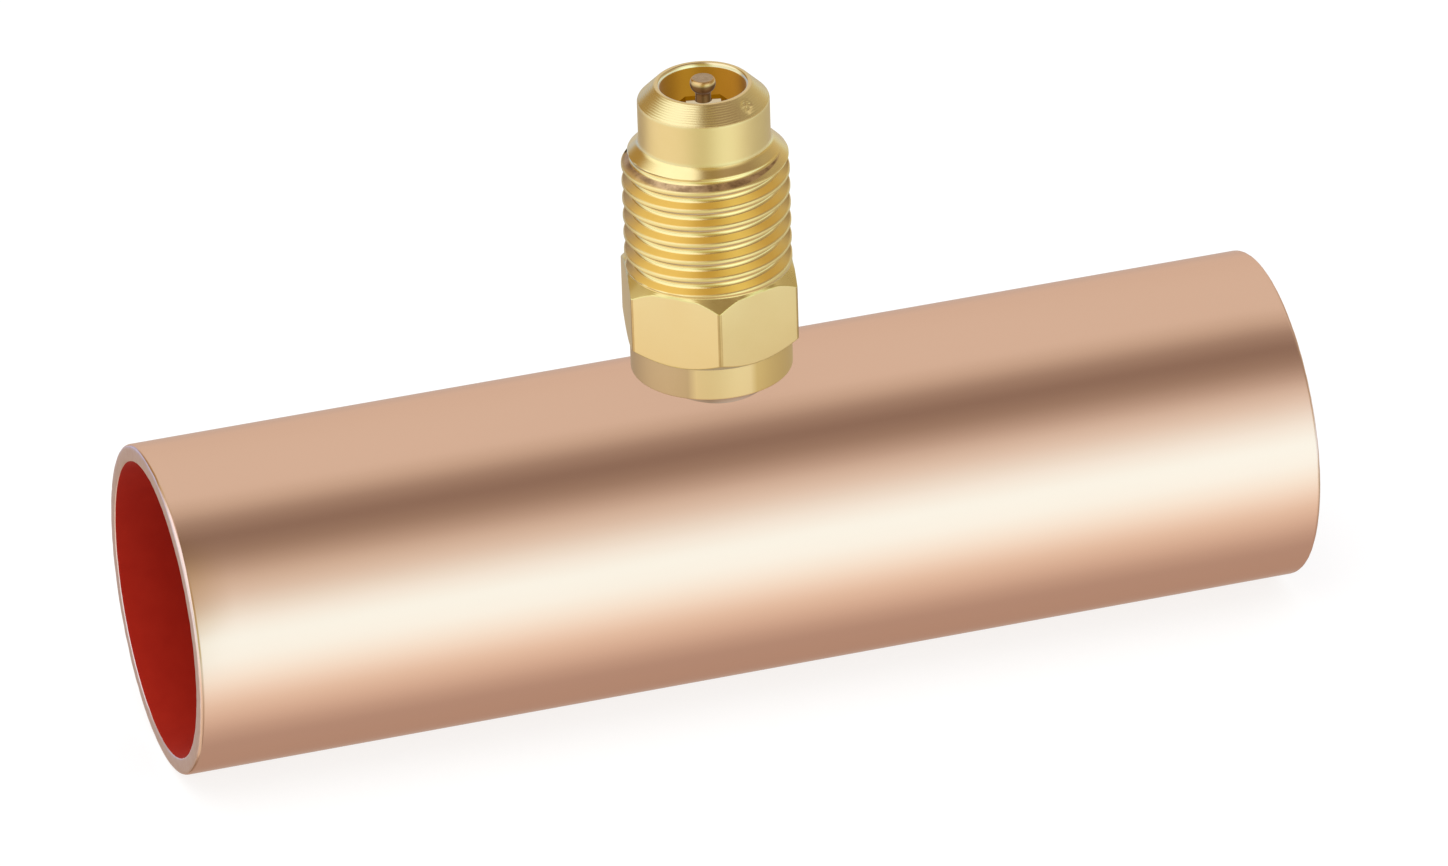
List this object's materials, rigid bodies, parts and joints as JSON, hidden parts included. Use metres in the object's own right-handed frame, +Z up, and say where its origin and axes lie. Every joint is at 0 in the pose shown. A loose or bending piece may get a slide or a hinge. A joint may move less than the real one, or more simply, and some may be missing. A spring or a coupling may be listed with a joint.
{
  "type": "access tee",
  "caption": "Straight copper refrigeration tube with a brass flare access valve brazed on its middle, whose sprung core pin opens the port when it is pressed.",
  "frame": {"origin": "where the run tube's axis and the valve's axis cross", "axes": "+X along the run tube; +Z up the valve's axis, out of its mouth; +Y completes the right-handed set"},
  "size_m": [0.078, 0.0222, 0.0435],
  "materials": {
    "copper": "satin, drawn and cleaned",
    "body_brass": "turned",
    "braze_alloy": "satin, as flowed",
    "core_brass": "turned",
    "pin_brass": "turned, darkened",
    "packing": "smooth, waxy",
    "spring_steel": "drawn wire",
    "washer_rubber": "smooth"
  },
  "bodies": {
    "fitting": {"run_tube": "copper", "valve_body": "body_brass", "braze_fillet": "braze_alloy", "core_plug": "core_brass", "core_barrel": "core_brass", "core_packing": "packing", "core_spring": "spring_steel"},
    "pin": {"core_pin": "pin_brass", "core_cup": "core_brass", "core_seat_washer": "washer_rubber"}
  },
  "joints": [
    {"name": "pin_press", "type": "slide", "parent": "fitting", "child": "pin", "axis": [0, 0, -1], "range_m": [0, 0.0006], "stiffness_N_per_m": 1500, "springref_m": -0.004, "deforming": ["core_spring"]}
  ]
}
